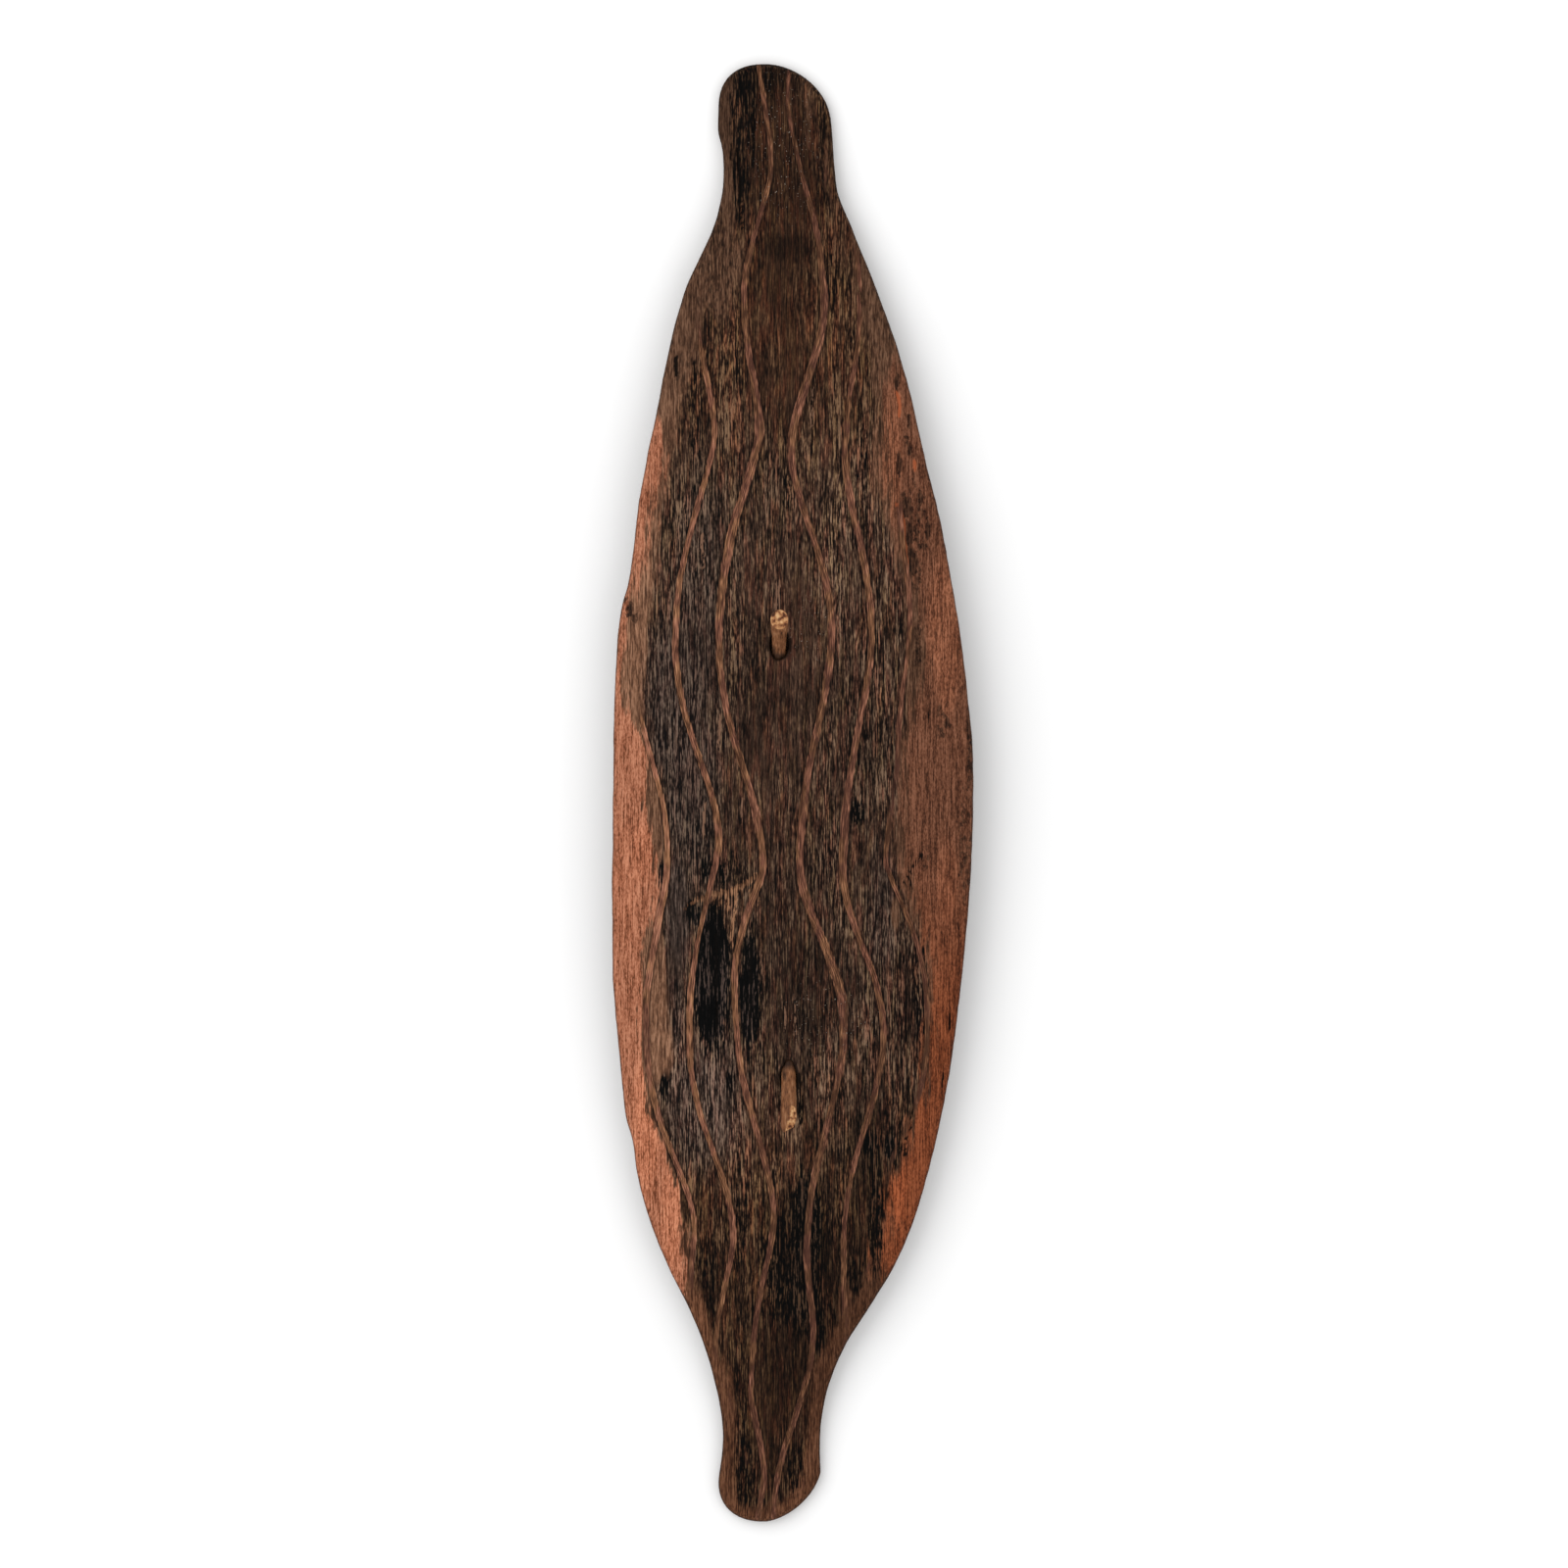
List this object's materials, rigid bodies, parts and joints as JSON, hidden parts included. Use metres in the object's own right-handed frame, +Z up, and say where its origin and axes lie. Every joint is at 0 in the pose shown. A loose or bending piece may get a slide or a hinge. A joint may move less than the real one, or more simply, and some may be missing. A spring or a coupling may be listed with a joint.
{
  "type": "carved wooden shield",
  "caption": "Long carved wooden shield with rounded lobes at both ends, wavy grooves along its convex front and a bent-stick handle through two slanting holes.",
  "frame": {"origin": "middle of the resting plane that the undersides of the two lobes lie on, below the middle of the board", "axes": "+Y along the board towards its upper lobe, +Z up out of the carved front, +X across to the right seen from the front"},
  "size_m": [0.2274, 0.92, 0.0694],
  "materials": {
    "weathered_wood": "dry, fibrous dark wood with a red ochre margin along both long edges",
    "debarked_stick": "debarked stick, brown and dry, with paler cut ends"
  },
  "bodies": {
    "root": {"shield_board": "weathered_wood", "handle": "debarked_stick"}
  },
  "joints": []
}
